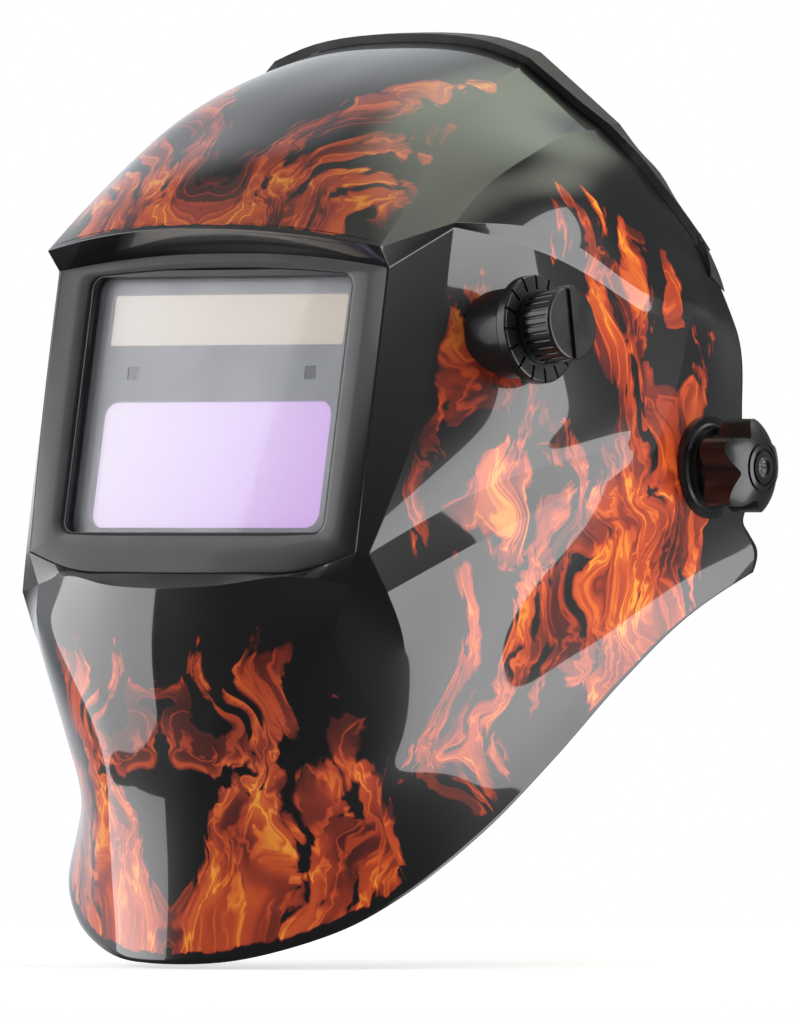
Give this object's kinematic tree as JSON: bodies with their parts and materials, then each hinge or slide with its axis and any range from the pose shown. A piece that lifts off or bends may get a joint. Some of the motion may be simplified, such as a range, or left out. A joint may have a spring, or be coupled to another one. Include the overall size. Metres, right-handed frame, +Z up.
{
  "type": "welding helmet",
  "caption": "Auto-darkening welding helmet: faceted gloss shell with flame print, tilting on a ratchet headgear, with an external shade knob.",
  "frame": {"origin": "middle of the axis that the helmet shell tilts about", "axes": "+Z up, -Y the way the visor looks, +X to the wearer's left, where the shade knob is"},
  "size_m": [0.262, 0.2933, 0.3081],
  "materials": {
    "shell_plastic": "gloss black nylon with printed flames under clear lacquer",
    "housing_plastic": "satin black moulding",
    "trim_plastic": "fine-grain matt dark grey",
    "cover_lens": "clear polycarbonate cover sheet",
    "case_plastic": "pale grey satin filter face",
    "case_back_plastic": "black satin moulding",
    "filter_glass": "lilac interference-coated glass",
    "lcd": "polarised liquid-crystal cell",
    "solar": "beige film over a solar cell",
    "sensor": "black photodiode window",
    "board": "green laminate",
    "cell": "plated steel can",
    "control": "black satin knob plastic",
    "nylon": "black flexible nylon",
    "steel": "zinc-plated steel",
    "brass": "machined brass",
    "rubber": "black rubber",
    "cable": "black cable jacket",
    "sweatband": "black perforated foam-backed cloth"
  },
  "bodies": {
    "headgear": {"headband": "nylon", "brow_pad": "sweatband", "side_arm_left": "nylon", "side_arm_right": "nylon", "band_rivets": "steel", "crown_strap_left": "nylon", "crown_strap_right": "nylon", "crown_pegs": "nylon", "ratchet_housing": "nylon", "ratchet_cover": "nylon", "ratchet_washer": "steel", "rear_pad": "sweatband", "stop_plate_left": "nylon", "stop_plate_right": "nylon", "pivot_bolt_left": "steel", "pivot_bolt_right": "steel", "friction_washer_left": "rubber", "friction_washer_right": "rubber"},
    "helmet": {"helmet_shell": "shell_plastic", "filter_housing": "housing_plastic", "pivot_seat_left": "control", "pivot_seat_right": "control", "shade_boss": "housing_plastic", "rear_edge_trim": "trim_plastic", "front_cover_lens": "cover_lens", "filter_case_front": "case_plastic", "filter_case_back": "case_back_plastic", "viewing_glass": "filter_glass", "lcd_shutter": "lcd", "solar_panel": "solar", "arc_sensors": "sensor", "circuit_board": "board", "coin_cells": "cell", "inner_cover_lens": "cover_lens", "filter_retainer": "case_back_plastic", "shade_dial_ring": "control", "shade_potentiometer": "steel", "shade_nut": "brass", "shade_lead": "cable", "pivot_spacer_left": "control", "pivot_spacer_right": "control"},
    "shade_control": {"shade_knob": "control", "shade_shaft": "steel"},
    "sensitivity_control": {"sensitivity_knob": "control"},
    "delay_control": {"delay_knob": "control"},
    "test_control": {"test_button": "control"},
    "latch_left": {"retainer_latch_left": "case_back_plastic"},
    "latch_right": {"retainer_latch_right": "case_back_plastic"},
    "tension_left": {"tension_knob_left": "control", "knob_screw_left": "steel"},
    "tension_right": {"tension_knob_right": "control", "knob_screw_right": "steel"},
    "tail_left": {"band_tail_left": "nylon"},
    "tail_right": {"band_tail_right": "nylon"},
    "ratchet_drive": {"ratchet_knob": "control", "ratchet_pinion": "nylon"}
  },
  "joints": [
    {"name": "flip_up", "type": "hinge", "parent": "headgear", "child": "helmet", "pos_m": [0, 0, 0], "axis": [-1, 0, 0], "range_deg": [0, 80]},
    {"name": "tension_knob_turn_left", "type": "hinge", "parent": "headgear", "child": "tension_left", "pos_m": [0.12, 0, 0], "axis": [1, 0, 0], "range_deg": [-180, 180]},
    {"name": "tension_knob_turn_right", "type": "hinge", "parent": "headgear", "child": "tension_right", "pos_m": [-0.12, 0, 0], "axis": [-1, 0, 0], "range_deg": [-180, 180]},
    {"name": "shade_turn", "type": "hinge", "parent": "helmet", "child": "shade_control", "pos_m": [0.0948, -0.091, 0.0438], "axis": [0.9888, -0.0865, 0.1219], "range_deg": [-135, 135]},
    {"name": "sensitivity_turn", "type": "hinge", "parent": "helmet", "child": "sensitivity_control", "pos_m": [-0.03, -0.10532, 0.04586], "axis": [0, 0.9796, -0.2011], "range_deg": [-135, 135]},
    {"name": "delay_turn", "type": "hinge", "parent": "helmet", "child": "delay_control", "pos_m": [0.03, -0.10532, 0.04586], "axis": [0, 0.9796, -0.2011], "range_deg": [-135, 135]},
    {"name": "test_press", "type": "slide", "parent": "helmet", "child": "test_control", "axis": [0, -0.9796, 0.2011], "range_m": [0, 0.0012], "stiffness_N_per_m": 200},
    {"name": "latch_slide_left", "type": "slide", "parent": "helmet", "child": "latch_left", "axis": [-1, 0, 0], "range_m": [0, 0.005]},
    {"name": "latch_slide_right", "type": "slide", "parent": "helmet", "child": "latch_right", "axis": [1, 0, 0], "range_m": [0, 0.005]},
    {"name": "ratchet_turn", "type": "hinge", "parent": "headgear", "child": "ratchet_drive", "pos_m": [0, 0.11817, 0.01369], "axis": [0, 0.9848, -0.1736], "range_deg": [-160, 160]},
    {"name": "tail_slide_left", "type": "hinge", "parent": "headgear", "child": "tail_left", "pos_m": [0, 0.02954, 0.02932], "axis": [0, 0.1736, 0.9848], "range_deg": [-8, 8]},
    {"name": "tail_slide_right", "type": "hinge", "parent": "headgear", "child": "tail_right", "pos_m": [0, 0.02954, 0.02932], "axis": [0, 0.1736, 0.9848], "range_deg": [-8, 8]}
  ],
  "couplings": [
    {"joint": "tail_slide_left", "follows": "ratchet_turn", "ratio": -0.05},
    {"joint": "tail_slide_right", "follows": "ratchet_turn", "ratio": 0.05}
  ]
}
